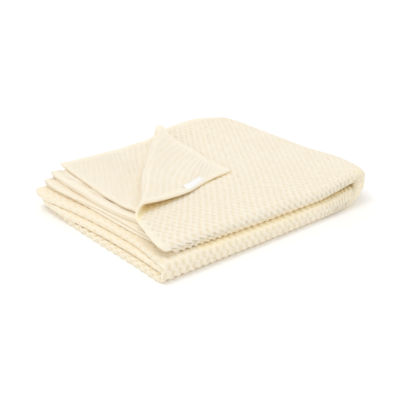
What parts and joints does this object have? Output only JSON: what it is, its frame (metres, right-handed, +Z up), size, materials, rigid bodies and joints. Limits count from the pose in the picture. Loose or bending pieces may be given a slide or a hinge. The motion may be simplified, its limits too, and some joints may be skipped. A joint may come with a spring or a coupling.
{
  "type": "folded knitted crib blanket",
  "caption": "Soft knitted crib blanket with a small honeycomb stitch, folded into a flat pack with one corner turned back.",
  "frame": {"origin": "on the surface it lies on, under the middle of the pack", "axes": "+X toward the last fold, +Y toward the back, +Z up through the layers"},
  "size_m": [0.4104, 0.3132, 0.082],
  "materials": {
    "knit": "soft matt cotton knit",
    "tape": "smooth woven tape"
  },
  "bodies": {
    "root": {"blanket": "knit", "label": "tape"}
  },
  "joints": []
}
